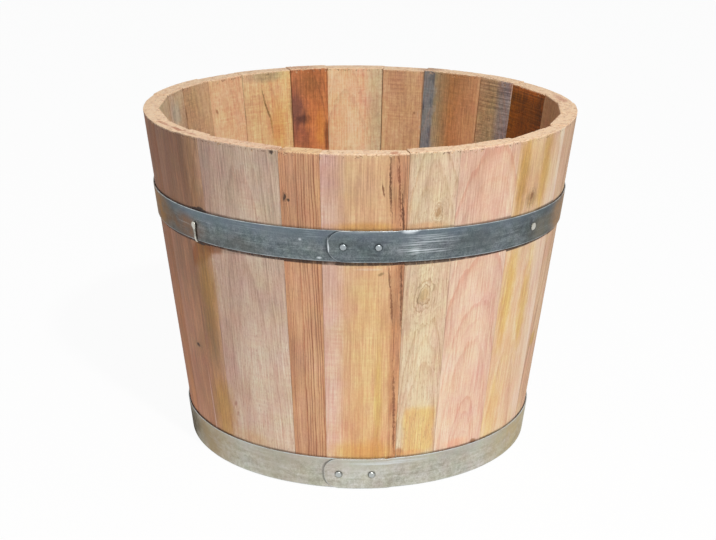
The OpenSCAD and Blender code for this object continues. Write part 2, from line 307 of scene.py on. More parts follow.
def stave_tree():
    """One stave of a coopered tub: round outside, flat inside, grooved, its rim's edges chipped."""
    tree, put, given = shape_tree("coopered_stave", STAVE_SIZES)
    (left, right, thick, foot_r, rim_r, tall, groove_z, groove_half, groove_r, groove_slope, hairline,
     outer_arris, inner_arris, rim_arris, chip_depth, unevenness, seed, columns) = given[1:-2]
    box = put("GeometryNodeMeshCube", {
        "Size": (1, 1, 1), "Vertices X": columns, "Vertices Y": STAVE_ROWS, "Vertices Z": STAVE_LAYERS})
    at = put("Vector.ADD", [put("GeometryNodeInputPosition"), HALVES])
    across, up, out = put("Split", [at]).node.outputs
    # Columns, rows and layers crowd together where the edges roll over, at the rim and the groove.
    across = put("Curve", [across], points=[(0, 0), (0.07, 0.012), (0.93, 0.988), (1, 1)])
    up = put("Curve", [up], points=[(0, 0), (0.03, 0.004), (0.06, 0.08), (0.28, 0.148), (0.60, 0.968),
                                    (0.95, 0.9965), (1, 1)])
    out = put("Curve", [out], points=[(0, 0), (0.25, 0.07), (0.75, 0.93), (1, 1)])

    growth = put("Math.SUBTRACT", [rim_r, foot_r])
    wide_r = put("Math.MULTIPLY_ADD", [up, growth, foot_r])
    turn = put("Math.SUBTRACT", [right, left])
    middle = put("Math.MULTIPLY_ADD", [turn, 0.5, left])
    width = put("Math.MULTIPLY", [wide_r, turn])
    width = put("Math.SUBTRACT", [width, hairline])
    size = put("Join", [width, tall, thick])
    share = put("Vector.SUBTRACT", [put("Join", [across, up, out]), HALVES])
    place = put("Vector.MULTIPLY", [share, size])

    # Where a chip broke out, the edge rolls over wider. Only the last few millimetres are chipped.
    spot = put("Vector.ADD", [place, put("Join", [seed, middle, seed])])
    splinters = put("Noise", [spot, 190.0, 3.5, 0.68])
    near_rim = put("Smooth", [up, 0.975, 0.995])
    chip = put("Math.MULTIPLY", [put("Smooth", [splinters, 0.51, 0.76]), near_rim])
    arris = put("Range", [out, 0.35, 0.65, inner_arris, outer_arris])
    roundness = put("Math.MULTIPLY_ADD", [near_rim, rim_arris, arris])
    roundness = put("Math.MULTIPLY_ADD", [chip, chip_depth, roundness])
    box = put("Store", [box, "broken_away", chip])
    rolled = rounded_box(put, place, put("Scale", [size, 0.5]), roundness)
    x, y, z = put("Split", [rolled]).node.outputs

    angle = put("Math.DIVIDE", [x, wide_r])
    height = put("Math.MULTIPLY_ADD", [tall, 0.5, y])
    depth = put("Math.ADD", [put("Math.DIVIDE", [z, thick]), 0.5])
    high = put("Math.DIVIDE", [height, tall])
    outside = put("Math.MULTIPLY_ADD", [high, growth, foot_r])
    inside = put("Math.SUBTRACT", [outside, thick])
    inside = put("Math.DIVIDE", [inside, put("Math.COSINE", [angle])])

    # The groove for the head, cut into the flat side.
    off_groove = put("Math.ABSOLUTE", [put("Math.SUBTRACT", [height, groove_z])])
    off_groove = put("Math.SUBTRACT", [off_groove, groove_half])
    off_groove = put("Math.MAXIMUM", [off_groove, 0.0])
    flank = put("Math.MULTIPLY", [off_groove, groove_slope])
    inside = put("Math.MAXIMUM", [inside, put("Math.SUBTRACT", [groove_r, flank])])

    # Planing and sawing leave both sides a little uneven, always inwards from the true size.
    wave = put("Math.MULTIPLY", [put("Noise", [spot, 22.0, 1.0]), unevenness])
    radius = put("Mix", [depth, inside, outside])
    radius = put("Math.SUBTRACT", [radius, wave])
    sunk = put("Math.MULTIPLY", [wave, near_rim])
    height = put("Math.SUBTRACT", [height, sunk])
    angle = put("Math.ADD", [angle, middle])
    finish_tree(put, given, put("Place", [box, round_the_tub(put, angle, radius, height)]))
    return tree


HOOP_SIZES = ["Lap start", "Lap length", "Step length", "Lap corner", "Lower edge", "Width",
              "Strip thickness", "Inner layer", "Outer layer", "Foot radius", "Rise",
              "Off", "Lean", "Bend", "Edge rounding", "Ripple", "Strip length", "Seed"]


def hoop_tree():
    """A strip bent once round the tub. Its rounded end lies over its start, then steps down."""
    tree, put, given = shape_tree("riveted_hoop", HOOP_SIZES)
    (lap_start, lap_len, step_len, corner, low, width, strip_t, inner, outer, foot_r, rise,
     off, lean, bend, edge_r, spring, length, seed) = given[1:-2]
    box = put("GeometryNodeMeshCube", {
        "Size": (1, 1, 1), "Vertices X": HOOP_COLUMNS, "Vertices Y": HOOP_ROWS, "Vertices Z": HOOP_LAYERS})
    at = put("Vector.ADD", [put("GeometryNodeInputPosition"), HALVES])
    along, across, out = put("Split", [at]).node.outputs
    along = put("Curve", [along], points=[(0, 0), (0.08, 0.011), (0.16, 0.052), (0.995, 0.999), (1, 1)])
    across = put("Curve", [across], points=[(0, 0), (0.27, 0.02), (0.73, 0.98), (1, 1)])
    along = put("Math.MULTIPLY", [along, length])
    corner_square = put("Math.MULTIPLY", [corner, corner])

    def quarter_circle(into):
        """How wide the corner's round is, a length into it from where it starts to turn."""
        into = put("Math.MAXIMUM", [into, 0.0])
        rest = put("Math.SUBTRACT", [corner_square, put("Math.MULTIPLY", [into, into])])
        return put("Math.SQRT", [put("Math.MAXIMUM", [rest, 0.0])])

    # The end is as wide as a quarter circle lets it be, until the strip has its full width.
    straight = put("Math.SUBTRACT", [put("Math.MULTIPLY", [width, 0.5]), corner])
    half_wide = put("Math.ADD", [straight, quarter_circle(put("Math.SUBTRACT", [corner, along]))])
    half_thick = put("Math.MULTIPLY", [strip_t, 0.5])
    half_long = put("Math.MULTIPLY", [length, 0.5])
    flat = put("Join", [put("Math.SUBTRACT", [along, half_long]), across, out])
    flat = put("Vector.SUBTRACT", [flat, (0, 0.5, 0.5)])
    wide = put("Math.MULTIPLY", [half_wide, 2.0])
    place = put("Vector.MULTIPLY", [flat, put("Join", [1.0, wide, strip_t])])
    off_middle = put("Math.ABSOLUTE", [put("Split", [place], out=1)])
    from_edge = put("Math.SUBTRACT", [half_wide, off_middle])
    from_edge = put("Math.MINIMUM", [from_edge, along])
    box = put("Store", [box, "mm_from_the_edge", put("Math.MULTIPLY", [from_edge, 1 / MM])])

    # How far a point of the lower layer lies from the rounded end above it, for a painted shadow.
    bow = put("Math.SUBTRACT", [corner, quarter_circle(put("Math.SUBTRACT", [off_middle, straight]))])
    start = put("Math.SUBTRACT", [length, lap_len])
    off_lap = put("Math.SUBTRACT", [put("Math.ADD", [bow, start]), along])
    box = put("Store", [box, "mm_from_the_lap", put("Math.MULTIPLY", [off_lap, 1 / MM])])
    rolled = rounded_box(put, place, put("Join", [half_long, half_wide, half_thick]), edge_r)
    x, y, z = put("Split", [rolled]).node.outputs
    along = put("Math.ADD", [x, half_long])

    middle = put("Math.MULTIPLY_ADD", [width, 0.5, low])
    lap_r = put("Math.MULTIPLY_ADD", [middle, rise, foot_r])
    angle = put("Math.ADD", [put("Math.DIVIDE", [along, lap_r]), lap_start])
    # Driven on askew: it leans, and it bends, by a millimetre or two.
    drift = put("Math.MULTIPLY_ADD", [put("Math.SINE", [angle]), lean, off])
    twice = put("Math.COSINE", [put("Math.MULTIPLY", [angle, 2.0])])
    drift = put("Math.MULTIPLY_ADD", [twice, bend, drift])
    height = put("Math.ADD", [put("Math.ADD", [middle, y]), drift])
    past_lap = put("Math.SUBTRACT", [along, lap_len])
    step = put("Smooth", [past_lap, 0.0, step_len, outer, inner])
    # The strip springs off the wood by a hair here and there, and both layers of the lap alike.
    ripple = put("Noise", [round_the_tub(put, angle, foot_r, seed), 16.0, 1.0])
    layer = put("Math.ADD", [step, put("Math.MULTIPLY", [ripple, spring])])
    layer = put("Math.ADD", [layer, half_thick])
    layer = put("Math.MULTIPLY", [put("Math.ADD", [layer, z]), level(1.0)])
    radius = put("Math.MULTIPLY_ADD", [height, rise, foot_r])
    radius = put("Math.ADD", [radius, layer])
    finish_tree(put, given, put("Place", [box, round_the_tub(put, angle, radius, height)]))
    return tree


FIXING_SIZES = ["Head width", "Head height", "Shank width", "Shank length", "Dimple", "Dents", "Seed"]


def fixing_tree():
    """A domed head on a shank, hammered a little out of true, on every point of what it is given."""
    tree, put, given = shape_tree("domed_fixings", FIXING_SIZES)
    head_wide, head_high, shank_wide, shank_long, dimple, dents, seed = given[1:-2]
    ball = put("GeometryNodeMeshUVSphere", {"Segments": 32, "Rings": 22, "Radius": 1.0})
    at = put("GeometryNodeInputPosition")
    up = put("Split", [at], out=2)
    above = put("Math.GREATER_THAN", [up, -0.001])
    wide = put("Math.MULTIPLY", [put("Mix", [above, shank_wide, head_wide]), 0.5])
    tall = put("Mix", [above, shank_long, head_high])
    shaped = put("Vector.MULTIPLY", [at, put("Join", [wide, wide, tall])])
    dip = put("Math.MULTIPLY", [put("Smooth", [up, 0.75, 1.0]), dimple])
    shaped = put("Vector.SUBTRACT", [shaped, put("Join", [0.0, 0.0, dip])])
    head = put("Place", [put("Store", [ball, "up_the_head", up]), shaped])
    lift = put("GeometryNodeInputNamedAttribute", {"Name": "square"}, data_type="FLOAT_VECTOR")
    turn = put("FunctionNodeAlignRotationToVector", {"Vector": lift}, axis="Z")
    set_in = put("GeometryNodeInstanceOnPoints", {
        "Points": given["Points"], "Instance": head, "Rotation": turn})
    real = put("GeometryNodeRealizeInstances", [set_in])
    where = put("Vector.ADD", [put("GeometryNodeInputPosition"), put("Join", [seed, 0.0, 0.0])])
    dent = put("Vector.SUBTRACT", [put("Noise", [where, 420.0, 1.0], out=1), HALVES])
    dent = put("Scale", [dent, dents])
    finish_tree(put, given, put("GeometryNodeSetPosition", {"Geometry": real, "Offset": dent}))
    return tree


def marked_points(name, places):
    """A mesh of loose points, each with the direction that is square to the wall there."""
    mesh = bpy.data.meshes.new(name)
    mesh.from_pydata([place for place, _ in places], [], [])
    square = mesh.attributes.new("square", "FLOAT_VECTOR", "POINT")
    for spot, (_, direction) in zip(square.data, places):
        spot.vector = direction
    return mesh


# ---------------------------------------------------------------- materials

def blank_material(name):
    """A material with no nodes yet, and the function that adds them."""
    material = bpy.data.materials.new(name)
    material.use_nodes = True
    material.node_tree.nodes.clear()
    return material, partial(add_node, material.node_tree)


def in_mm(put, shift=(0, 0, 0), turn=0.0):
    """The place on a piece in millimetres, turned about the upright axis and then shifted."""
    return put("ShaderNodeMapping", {
        "Vector": put("ShaderNodeTexCoord", out=3), "Location": shift, "Rotation": (0, 0, turn),
        "Scale": (1 / MM, 1 / MM, 1 / MM)})


def end_material(put, colour, roughness, bump, more):
    """Ends a material in one surface. bump is the relief's strength, depth in metres and pattern."""
    surface = put("ShaderNodeBsdfPrincipled", {
        "Base Color": colour, "Roughness": roughness, "Normal": put("Bump", bump), **more})
    put("ShaderNodeOutputMaterial", {"Surface": surface})


# Marks in the staves' wood. Each has its place in degrees round from the front and millimetres up,
# its half width and half height, its tone, its strength, how soft its edge is, how ragged its edge
# is and, if it leans, how far to the right for each millimetre up.
OUTER_MARKS = [
    # Brown stain that ran from the bent nail, and dark lines just above and below the hoop's edges there.
    (-46.6, 264, 17, 22, "#a8622f", 0.8, 0.3, 0.5, 0.75),
    (-42.0, 273, 17, 9, "#a26234", 0.75, 0.3, 0.5),
    (-46.2, 218, 15, 46, "#b88a46", 0.7, 0.6, 0.9),
    (-47.0, 165, 13, 34, "#b08456", 0.55, 0.6, 0.9),
    (-45.8, 70, 18, 36, "#c4924e", 0.7, 0.5, 0.9),
    (-50.0, 355, 6, 60, "#8e6448", 0.5, 0.5, 0.6),
    (-46.0, 310.4, 15, 2.2, "#2a1a14", 0.9, 0.3, 1.4),
    (-45.2, 312.6, 5, 1.8, "#33211a", 0.9, 0.3, 1.2),
    (-46.6, 271.4, 7, 1.8, "#2f1d16", 0.9, 0.3, 1.2),
    (-51.9, 60, 1.3, 45, "#e4c0ac", 0.8, 0.5, 0.8),
    # Pinkish-grey stave: specks, and short flecks lower down.
    (-40.0, 84, 1.6, 3.2, "#a4685a", 0.6, 0.5, 1.0, 0.3),
    (-39.6, 72, 1.6, 3.0, "#a4685a", 0.5, 0.5, 1.0, 0.3),
    (-21.0, 391, 2.0, 2.6, "#2c1c14", 0.9, 0.4, 1.6),
    (-17.3, 340, 1.4, 1.8, "#24160f", 0.9, 0.4, 1.4),
    (-35.0, 44, 30, 9, "#d8b080", 0.5, 0.6, 0.6),
    # Front stave: tan middle, yellow patches, reddish right edge with dark cracks.
    (3.0, 150, 22, 130, "#dbb074", 0.5, 0.5, 0.5),
    (6.0, 105, 4, 60, "#cfae58", 0.5, 0.6, 0.8),
    (1.0, 44, 36, 16, "#d99e48", 0.6, 0.6, 0.6),
    (2.0, 313, 36, 6, "#dca254", 0.7, 0.5, 0.6),
    (16.5, 312, 24, 5, "#d09a68", 0.6, 0.5, 0.6),
    (2.6, 266.6, 14, 1.2, "#e8cfae", 0.6, 0.4, 0.4),
    (5.8, 261, 2.4, 2.0, "#8e7448", 0.8, 0.5, 0.8, 0.8),
    (9.9, 330, 10, 110, "#cc8c66", 0.6, 0.6, 0.6, -0.02),
    (10.2, 150, 6, 120, "#c08058", 0.6, 0.5, 1.4),
    (7.4, 372, 0.9, 20, "#80502f", 0.8, 0.6, 3.6, -0.02),
    (7.6, 350, 1.1, 20, "#704227", 0.85, 0.6, 3.2, -0.05),
    (5.8, 355, 0.9, 6.0, "#7c4c2e", 0.9, 0.5, 2.0, -0.15),
    (9.7, 356, 1.0, 34, "#844a2c", 0.8, 0.6, 3.8, -0.04),
    (10.8, 326, 1.2, 22, "#5c331c", 0.9, 0.6, 3.0, -0.05),
    (8.0, 256, 0.9, 10, "#80502f", 0.8, 0.6, 3.0, -0.06),
    (11.2, 240, 1.1, 32, "#6a3e24", 0.85, 0.6, 3.0, -0.02),
    (8.8, 226, 0.9, 20, "#8a5030", 0.75, 0.6, 3.6, -0.06),
    (10.6, 108, 1.1, 34, "#7c4a2c", 0.75, 0.6, 4.0, -0.03),
    (11.0, 62, 0.9, 18, "#84502f", 0.75, 0.6, 3.4, -0.02),
    # Pale stave: yellow patch at its foot, brown spot below it.
    (18.8, 70, 18, 28, "#e0b45c", 0.6, 0.19, 0.3),
    (12.9, 44, 4.5, 6.0, "#b0703c", 0.75, 0.4, 0.6),
    (17.0, 42, 14, 4.0, "#e0a468", 0.6, 0.5, 0.6),
    # Pink stave: orange and brown at its foot.
    (32.5, 44, 15, 6.0, "#e8a888", 0.6, 0.5, 0.8),
    (39.4, 39, 4.5, 4.0, "#96683f", 0.85, 0.4, 0.6),
    (36.0, 352, 26, 50, "#dca286", 0.35, 0.6, 0.6),
    # Ochre stave: yellow streaks and a brown foot to the upper one.
    (52.0, 358, 42, 44, "#dcac6c", 0.5, 0.5, 0.6),
    (45.4, 352, 7, 56, "#cf9a44", 0.7, 0.7, 1.6),
    (54.8, 350, 8, 56, "#d2a040", 0.65, 0.7, 1.6),
    (50.0, 323, 9, 9, "#bc8850", 0.6, 0.6, 1.2),
    (46.0, 212, 9, 58, "#dcae58", 0.75, 0.7, 1.6),
    (54.6, 196, 9, 56, "#deb258", 0.7, 0.7, 1.6),
    (50.0, 150, 9, 70, "#e4b684", 0.5, 0.6, 1.2),
    (46.5, 70, 11, 44, "#e0b470", 0.6, 0.7, 1.4),
    (68.5, 135, 9, 9, "#c8a03a", 0.6, 0.4, 0.6),
]

# The same for the flat sides that show over the front rim.
INNER_MARKS = [
    (201.4, 342, 11, 30, "#64403e", 0.75, 0.6, 1.8),
    (200.2, 329, 9, 5.0, "#3c2422", 0.65, 0.8, 3.0, 0.2),
    (194.0, 316, 7.0, 24, "#d48a3c", 0.6, 0.6, 1.6),
    (192.0, 304, 4.0, 18, "#6e3c22", 0.8, 0.5, 1.2),
    (200.5, 306, 13, 14, "#8c5240", 0.6, 0.6, 1.6),
    (198.0, 372, 18, 16, "#a46a3e", 0.6, 0.6, 1.6),
    (203.2, 350, 0.9, 70, "#5a4030", 0.85, 0.4, 2.6),
    (213.3, 358, 1.0, 12, "#9a7040", 0.7, 0.7, 2.8, 0.22),
    (212.3, 342, 1.2, 12, "#926636", 0.8, 0.7, 2.8, 0.34),
    (211.4, 325, 1.1, 13, "#9a7040", 0.7, 0.7, 2.8, 0.1),
    (209.0, 322, 10, 32, "#dda350", 0.5, 0.6, 0.6),
    (212.5, 389, 26, 8, "#b3a482", 0.6, 0.5, 0.8),
    (232.5, 353, 2.0, 3.0, "#9a6040", 0.7, 0.5, 1.2, 0.3),
    (256.5, 366, 12, 14, "#98a09a", 0.4, 0.6, 1.4),
    (157.2, 345, 9.0, 70, "#9a9a98", 0.55, 0.4, 3.6),
    (162.0, 338, 1.4, 1.6, "#805638", 0.6, 0.5, 0.8),
    (125.3, 358, 1.2, 50, "#e6c4ac", 0.85, 0.4, 1.0),
    # Painted light: a lit orange band along the top of the shaded stave at the right.
    (116.5, 390, 34, 6.0, "#c4702e", 0.8, 0.5, 0.8),
]

# Reddish streaks where the rim's end grain took up damp. Here the place in millimetres counts
# inwards from the outside.
RIM_MARKS = [
    (-62.0, 9, 14, 2.2, "#c07c60", 0.7, 0.6, 0.8),
    (-54.0, 10, 18, 2.6, "#b06a4a", 0.8, 0.5, 0.8),
    (-47.0, 7, 9, 2.0, "#b87254", 0.6, 0.6, 0.8),
    (-20.0, 6, 10, 6.0, "#a87452", 0.65, 0.6, 1.2),
    (8.2, 7, 4, 7.0, "#b8683e", 0.7, 0.5, 1.2),
    (100.0, 9, 20, 4.0, "#b98062", 0.6, 0.6, 0.8),
    (158.0, 10, 16, 9.0, "#a68266", 0.75, 0.6, 0.8),
    (200.0, 10, 22, 8.0, "#b9805c", 0.5, 0.6, 0.8),
]

# Knots: degrees round, height, half width and half height of the eye, its tone, and by how many
# growth rings the grain bends round it.
KNOTS = [
    (-56.0, 139, 3.6, 2.4, "#24140e", 0.6),
    (-18.2, 343, 2.0, 4.0, "#1e120d", 0.8),
    (19.8, 327, 3.0, 5.0, "#b08c64", 2.6),
    (17.6, 234, 5.0, 9.0, "#c0a078", 4.2),
    (50.2, 326, 3.0, 4.5, "#94643c", 2.0),
    (104.0, 240, 4.0, 7.0, "#7a4a2c", 2.5),
    (150.0, 120, 5.0, 8.0, "#8a5632", 3.0),
    (206.0, 200, 4.0, 7.0, "#6b4027", 2.5),
    (251.0, 90, 3.5, 6.0, "#86522f", 2.2),
]

# How each stave's wood looks. out and inn are its tones from left to right on the round and on the
# flat side, seen from outside. rings are the growth rings' spacing, the pith's place to the right
# and behind the face, and how far it runs in per millimetre of height. late is the tone of the dark
# part of a ring and its strength. pores, planed, saw and streaks are the strengths of the short
# dark flecks, of the plane's and the saw's marks, and of resin streaks. painted_rim_shade is the
# share of its lightness the round side loses towards the rim as painted shade, and sway how far its
# bands of tone wander.
PLAIN = dict(
    out=[(0, "#d8b494"), (1, "#d3ab8a")], inn=[(0, "#d2a478"), (1, "#cc9c72")],
    rings=(5.0, 10.0, 60.0, 0.10), late=("#b98260", 0.45), pores=0.25, planed=0.2, saw=0.15,
    streaks=0.0, painted_rim_shade=0.15, sway=0.18, rim=("#f4d8b8", "#e6bc9a"))
LOOKS = {
    1: dict(out=[(0, "#d49878"), (1, "#cc9470")], rings=(4.5, -60, 40, 0.02), late=("#96604a", 0.35),
            painted_rim_shade=0.48),
    2: dict(out=[(0, "#c68e70"), (0.6, "#cc986e"), (1, "#d4a88a")],
            rings=(4, 30, 70, 0.05), late=("#9a6540", 0.40), painted_rim_shade=0.32),
    3: dict(out=[(0, "#dab4a0"), (0.35, "#dec0aa"), (1, "#dec3ab")], rings=(4.2, 2, 16, 0.06),
            late=("#b98a78", 0.50), pores=0.6, planed=0.7, painted_rim_shade=0.22, rim=("#f0d0b0", "#e0b294")),
    4: dict(out=[(0, "#cc946e"), (0.3, "#cc9a76"), (0.7, "#d2a27c"), (1, "#ca9670")],
            rings=(3.4, -150, 30, 0.0), late=("#8c4826", 0.95), painted_rim_shade=0.06,
            rim=("#f0d0a2", "#dcac7c")),
    5: dict(out=[(0, "#e2b9a7"), (0.17, "#e2bba5"), (0.29, "#e2b890"), (0.85, "#e2b688"),
                 (1, "#d8a680")], rings=(6.0, -10, 150, 0.05), late=("#c8946c", 0.30), planed=1.0,
            streaks=0.7, painted_rim_shade=0.2, sway=0.14),
    6: dict(out=[(0, "#dec6a6"), (0.55, "#ddc4a2"), (1, "#e2c6aa")], rings=(4.2, 2, 12, 0.09),
            late=("#b8906a", 0.60), pores=0.6),
    7: dict(out=[(0, "#e4c6ac"), (0.3, "#e3bea4"), (0.7, "#e6c0a8"), (1, "#e6c8ae")],
            rings=(5.5, 3, 6, 0.16), late=("#d28e78", 0.60)),
    8: dict(out=[(0, "#e8c49c"), (0.4, "#eaccaa"), (0.6, "#eaccac"), (1, "#efd2bc")],
            rings=(5.0, -6, 40, 0.05), late=("#cc9864", 0.40), sway=0.3),
    9: dict(out=[(0, "#e0b896"), (1, "#d8b08c")], rings=(5.0, 20, 50, 0.05), late=("#a87650", 0.50)),
    12: dict(inn=[(0, "#7a400a"), (0.6, "#8c4c0a"), (1, "#9c5a10")], late=("#4a220c", 0.6), saw=0.7),
    13: dict(inn=[(0, "#ac9a8c"), (0.14, "#96888a"), (0.34, "#9c8e86"), (0.5, "#b89c76"), (1, "#cca47a")],
             saw=0.6, sway=0.06),
    14: dict(inn=[(0, "#d4a680"), (0.12, "#cc9468"), (0.5, "#b87e4e"), (0.66, "#b28e66"),
                  (0.76, "#a49074"), (0.81, "#64666e"), (0.96, "#6a6c72"), (1, "#e0ccb4")], sway=0.07),
    15: dict(inn=[(0, "#d0a47a"), (1, "#d2a67e")], saw=0.25),
    16: dict(inn=[(0, "#ceba98"), (0.2, "#d6bc96"), (0.34, "#ecc8a2"), (1, "#eeca9e")], sway=0.08),
    17: dict(inn=[(0, "#d08854"), (0.5, "#ca7c4a"), (1, "#c07a52")], late=("#6a3420", 0.7)),
    18: dict(inn=[(0, "#e8c286"), (1, "#e0be92")], saw=0.2),
    19: dict(inn=[(0, "#eac49a"), (1, "#e2b88e")], saw=0.2),
    20: dict(inn=[(0, "#caa480"), (1, "#c49e78")], saw=0.2),
    21: dict(inn=[(0, "#d2b492"), (1, "#c8ae92")], saw=0.2),
    22: dict(out=[(0, "#b88268"), (1, "#b27e66")], inn=[(0, "#d6bc98"), (1, "#c8b696")],
             painted_rim_shade=0.42),
    23: dict(out=[(0, "#c08058"), (1, "#cc8658")], rings=(5, 40, 60, 0.03), late=("#8a5640", 0.4),
             painted_rim_shade=0.48),
}


def stave_wood(number):
    """Douglas fir or the like, air-dried. Planed outside, so the growth rings show as clean lines
    and arcs; rough-sawn inside, so they drown in saw marks and dust. Matt, dielectric, IOR 1.5."""
    look = {**PLAIN, **LOOKS.get(number, {})}
    material, put = blank_material(f"stave_{number:02d}_fir")
    left, right = stave_edge(number - 1), stave_edge(number)
    middle = (left + right) / 2
    half_turn = (right - left) / 2
    thick = level(stave_thickness(number - 1))
    top = TUB_H - rim_drop(number)

    # Board coordinates in mm: to the right, into the board, and up.
    right_of, behind, high = put("Split", [in_mm(put, (0, FOOT_R, 0), -middle)]).node.outputs
    deep = put("Math.MULTIPLY_ADD", [high, RISE, behind])
    board = put("Join", [right_of, deep, high])
    other = put("Vector.ADD", [board, (number * 61.7, number * 23.1, number * 397.3)])

    def grainy(across, along, detail, roughness=0.55, out=0):
        """Noise drawn out along the grain: across and along are its sizes in mm."""
        stretched = put("Vector.MULTIPLY", [other, (1 / across, 1 / across, 1 / along)])
        return put("Noise", [stretched, 1.0, detail, roughness], out=out)

    # Growth rings are shells round the pith. A pith that runs in or out gives cathedral arcs.
    spacing, pith_right, pith_behind, run = look["rings"]
    wander = put("Scale", [put("Vector.SUBTRACT", [grainy(48, 190, 1.5, out=1), HALVES]), 9.0])
    tremble = put("Vector.SUBTRACT", [grainy(7, 34, 2.0, out=1), HALVES])
    wander = put("Vector.MULTIPLY_ADD", [tremble, (2.6, 2.6, 2.6), wander])
    x, y, z = put("Split", [put("Vector.ADD", [board, wander])]).node.outputs
    off_x = put("Math.SUBTRACT", [x, pith_right])
    off_y = put("Math.SUBTRACT", [y, put("Math.MULTIPLY_ADD", [z, run, pith_behind])])
    shell = put("Length", [put("Join", [off_x, off_y, 0.0])])
    shell = put("Math.MULTIPLY", [shell, 1.0 / spacing])
    seasons = put("Noise", {"W": shell, "Scale": 0.37, "Detail": 0.0}, noise_dimensions="1D")
    shell = put("Math.MULTIPLY_ADD", [seasons, 2.4, shell])

    loose = put("Math.SUBTRACT", [grainy(6, 15, 3), 0.5])
    tight = put("Math.SUBTRACT", [grainy(1.5, 3.5, 2), 0.5])

    def turn_to(degrees):
        return math.remainder(math.radians(degrees) - middle, 2 * math.pi)

    def spot(degrees, place, half_wide, half_high, ragged, lean=0.0, up=None, square=False):
        """How far a point is from a mark's middle, as a share of the mark's own size."""
        off = turn_to(degrees) * wall_r(place if up is None else TUB_H)
        rise = put("Math.SUBTRACT", [high if up is None else up, place])
        side = put("Math.MULTIPLY_ADD", [rise, -lean, right_of])
        side = put("Math.MULTIPLY_ADD", [side, 1 / half_wide, -off / half_wide])
        rise = put("Math.MULTIPLY", [rise, 1 / half_high])
        away = put("Length", [put("Join", [side, rise, 0.0])])
        if square:
            flanks = [put("Math.ABSOLUTE", [way]) for way in (side, rise)]
            away = put("Math.SMOOTH_MAX", flanks + [0.35])
        return put("Math.MULTIPLY_ADD", [tight if half_wide < 4 else loose, ragged, away])

    def marked(wood, marks, up=None):
        """Lays this stave's marks over its wood."""
        for degrees, place, half_wide, half_high, tone, strength, soft, ragged, *lean in marks:
            if abs(turn_to(degrees)) < half_turn + half_wide / MID_R:
                away = spot(degrees, place, half_wide, half_high, ragged, sum(lean), up, soft < 0.2)
                amount = put("Smooth", [away, 1 - soft, 1 + soft, strength, 0.0])
                wood = put("Tint", [amount, wood, tone])
        return wood

    knots = [knot for knot in KNOTS if abs(turn_to(knot[0])) < half_turn]
    for degrees, place, half_wide, half_high, tone, bend in knots:
        away = spot(degrees, place, half_wide * 5, half_high * 5, 0.8)
        shell = put("Math.ADD", [shell, put("Smooth", [away, 0.0, 1.0, bend, 0.0])])

    late = put("Ramp", [put("Math.FRACT", [shell])],
               stops=[(0, 0.0), (0.5, 0.04), (0.74, 0.4), (0.84, 1.0), (0.96, 1.0), (1.0, 0.0)])
    year = put("Math.ADD", [put("Math.FLOOR", [shell]), number * 7.0])
    dense = put("ShaderNodeTexWhiteNoise", {"W": year}, noise_dimensions="1D")
    late = put("Math.MULTIPLY", [late, put("Range", [dense, 0.0, 1.0, 0.25, 1.0])])
    broken = put("Smooth", [grainy(2.2, 70, 3.0, 0.6), 0.3, 0.6, 0.55, 1.0])
    late = put("Math.MULTIPLY", [late, broken])

    # Fibres of 1 to 2 mm, coarser than the real ones so that they show, and broader bands.
    fibre = grainy(1.2, 40, 3.5, 0.65)
    bands = grainy(5.5, 420, 2.0)
    cloud = grainy(30, 110, 3.0)
    flecks = put("Smooth", [grainy(0.9, 5.0, 2.0), 0.60, 0.70])
    grit = put("Noise", [other, 0.42, 3.0, 0.65])
    across = put("Math.MULTIPLY_ADD", [right_of, 0.5 / (wall_r(TUB_H) * half_turn), 0.5])
    swayed = put("Math.MULTIPLY_ADD", [bands, look["sway"], look["sway"] * -0.5])
    across = put("Math.ADD", [swayed, across])
    late_tone, late_amount = look["late"]

    # The round side: rings, resin streaks and the plane's marks across it.
    planed = put("Ramp", [across], stops=look["out"])
    planed = put("Tint", [put("Math.MULTIPLY", [late, late_amount]), planed, late_tone])
    if look["streaks"]:
        resin = put("Smooth", [grainy(2.6, 60, 2.5, 0.6), 0.54, 0.62, 0.0, look["streaks"]])
        window = put("Math.ABSOLUTE", [put("Math.SUBTRACT", [right_of, 36.0])])
        window = put("Smooth", [window, 5.0, 8.5, 1.0, 0.0])
        planed = put("Tint", [put("Math.MULTIPLY", [resin, window]), planed, "#74442a"])
    knife = put("Noise", [put("Vector.MULTIPLY", [other, (0.008, 0.0, 0.24)]), 1.0, 2.0, 0.6])
    glint = 0.05 * look["planed"]
    lit = put("Smooth", [knife, 0.3, 0.7, 0.5 - glint, 0.5 + glint])
    planed = put("Tint.OVERLAY", [put("Smooth", [cloud, 0.42, 0.62]), planed, lit])
    planed = marked(planed, OUTER_MARKS)
    for degrees, place, half_wide, half_high, tone, bend in knots:
        away = spot(degrees, place, half_wide, half_high, 1.7, 0.12)
        round_it = put("Math.FRACT", [put("Math.MULTIPLY", [away, 1.35])])
        round_it = put("Ramp", [round_it], stops=[(0, 0.0), (0.55, 0.1), (0.82, 1.0), (1.0, 0.0)])
        round_it = put("Math.MULTIPLY", [round_it, put("Smooth", [away, 1.2, 3.6, 0.75, 0.0])])
        planed = put("Tint", [round_it, planed, "#a07c54"])
        planed = put("Tint", [put("Smooth", [away, 0.5, 1.4, 0.85, 0.0]), planed, tone])
    # Painted shade: the round side grows darker towards the rim, by the share each stave sets.
    rim_shade_factor = put("Range", [high, 50.0, 350.0, 1.0, 1.0 - look["painted_rim_shade"]])
    planed = put("Tint.MULTIPLY", [1.0, planed, rim_shade_factor])

